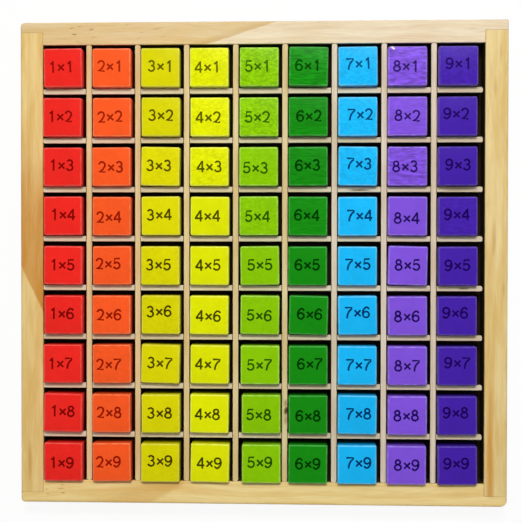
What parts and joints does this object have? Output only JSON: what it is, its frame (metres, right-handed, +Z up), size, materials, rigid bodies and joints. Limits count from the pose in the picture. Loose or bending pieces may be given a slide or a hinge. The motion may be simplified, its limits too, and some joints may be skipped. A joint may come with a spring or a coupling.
{
  "type": "multiplication cube board",
  "caption": "Flat square pine tray with a lattice of half-lapped dividers, each cell holding a painted wooden cube printed with a times-table sum.",
  "frame": {"origin": "bottom centre of the bounding box: the middle of the board on the surface it lies on", "axes": "+X along the rows towards the ninth table, +Y across the rows towards the products by one, +Z up out of the tray"},
  "size_m": [0.2238, 0.222, 0.0233],
  "materials": {
    "frame_pine": "planed and sanded pine, satin",
    "divider_pine": "thin sanded pine strip, matte",
    "panel_plywood": "thin plywood, matte",
    "red_paint": "red gloss paint on wood, with a dark printed sum on the upper face",
    "orange_paint": "orange gloss paint on wood, with a dark printed sum on the upper face",
    "mustard_paint": "mustard gloss paint on wood, with a dark printed sum on the upper face",
    "lemon_paint": "lemon gloss paint on wood, with a dark printed sum on the upper face",
    "lime_paint": "lime gloss paint on wood, with a dark printed sum on the upper face",
    "green_paint": "green gloss paint on wood, with a dark printed sum on the upper face",
    "blue_paint": "blue gloss paint on wood, with a dark printed sum on the upper face",
    "lilac_paint": "lilac gloss paint on wood, with a dark printed sum on the upper face",
    "violet_paint": "violet gloss paint on wood, with a dark printed sum on the upper face"
  },
  "bodies": {
    "root": {"top_rail": "frame_pine", "bottom_rail": "frame_pine", "left_rail": "frame_pine", "right_rail": "frame_pine", "base_panel": "panel_plywood", "column_divider_1": "divider_pine", "column_divider_2": "divider_pine", "column_divider_3": "divider_pine", "column_divider_4": "divider_pine", "column_divider_5": "divider_pine", "column_divider_6": "divider_pine", "column_divider_7": "divider_pine", "column_divider_8": "divider_pine", "row_divider_1": "divider_pine", "row_divider_2": "divider_pine", "row_divider_3": "divider_pine", "row_divider_4": "divider_pine", "row_divider_5": "divider_pine", "row_divider_6": "divider_pine", "row_divider_7": "divider_pine", "row_divider_8": "divider_pine", "red_cubes": "red_paint", "orange_cubes": "orange_paint", "mustard_cubes": "mustard_paint", "lemon_cubes": "lemon_paint", "lime_cubes": "lime_paint", "green_cubes": "green_paint", "blue_cubes": "blue_paint", "lilac_cubes": "lilac_paint", "violet_cubes": "violet_paint"}
  },
  "joints": []
}
